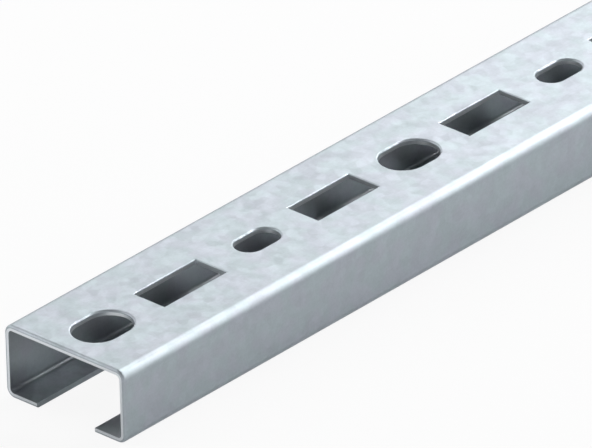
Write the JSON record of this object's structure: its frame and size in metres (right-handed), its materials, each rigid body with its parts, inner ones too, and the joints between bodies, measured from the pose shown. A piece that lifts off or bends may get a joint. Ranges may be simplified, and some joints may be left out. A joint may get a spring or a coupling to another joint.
{
  "type": "strut channel",
  "caption": "Light C-shaped strut channel of galvanised sheet steel, with inward lips along an open slot and a row of oblong and rectangular holes in its web.",
  "frame": {"origin": "middle of the length and of the width, on the underside of the lips", "axes": "+Y along the channel, +Z from the lips up to the web, +X across it"},
  "size_m": [0.035, 0.3, 0.018],
  "materials": {
    "galvanised_steel": "strip-galvanised, satin, with faint zinc mottling"
  },
  "bodies": {
    "root": {"strut_channel": "galvanised_steel"}
  },
  "joints": []
}
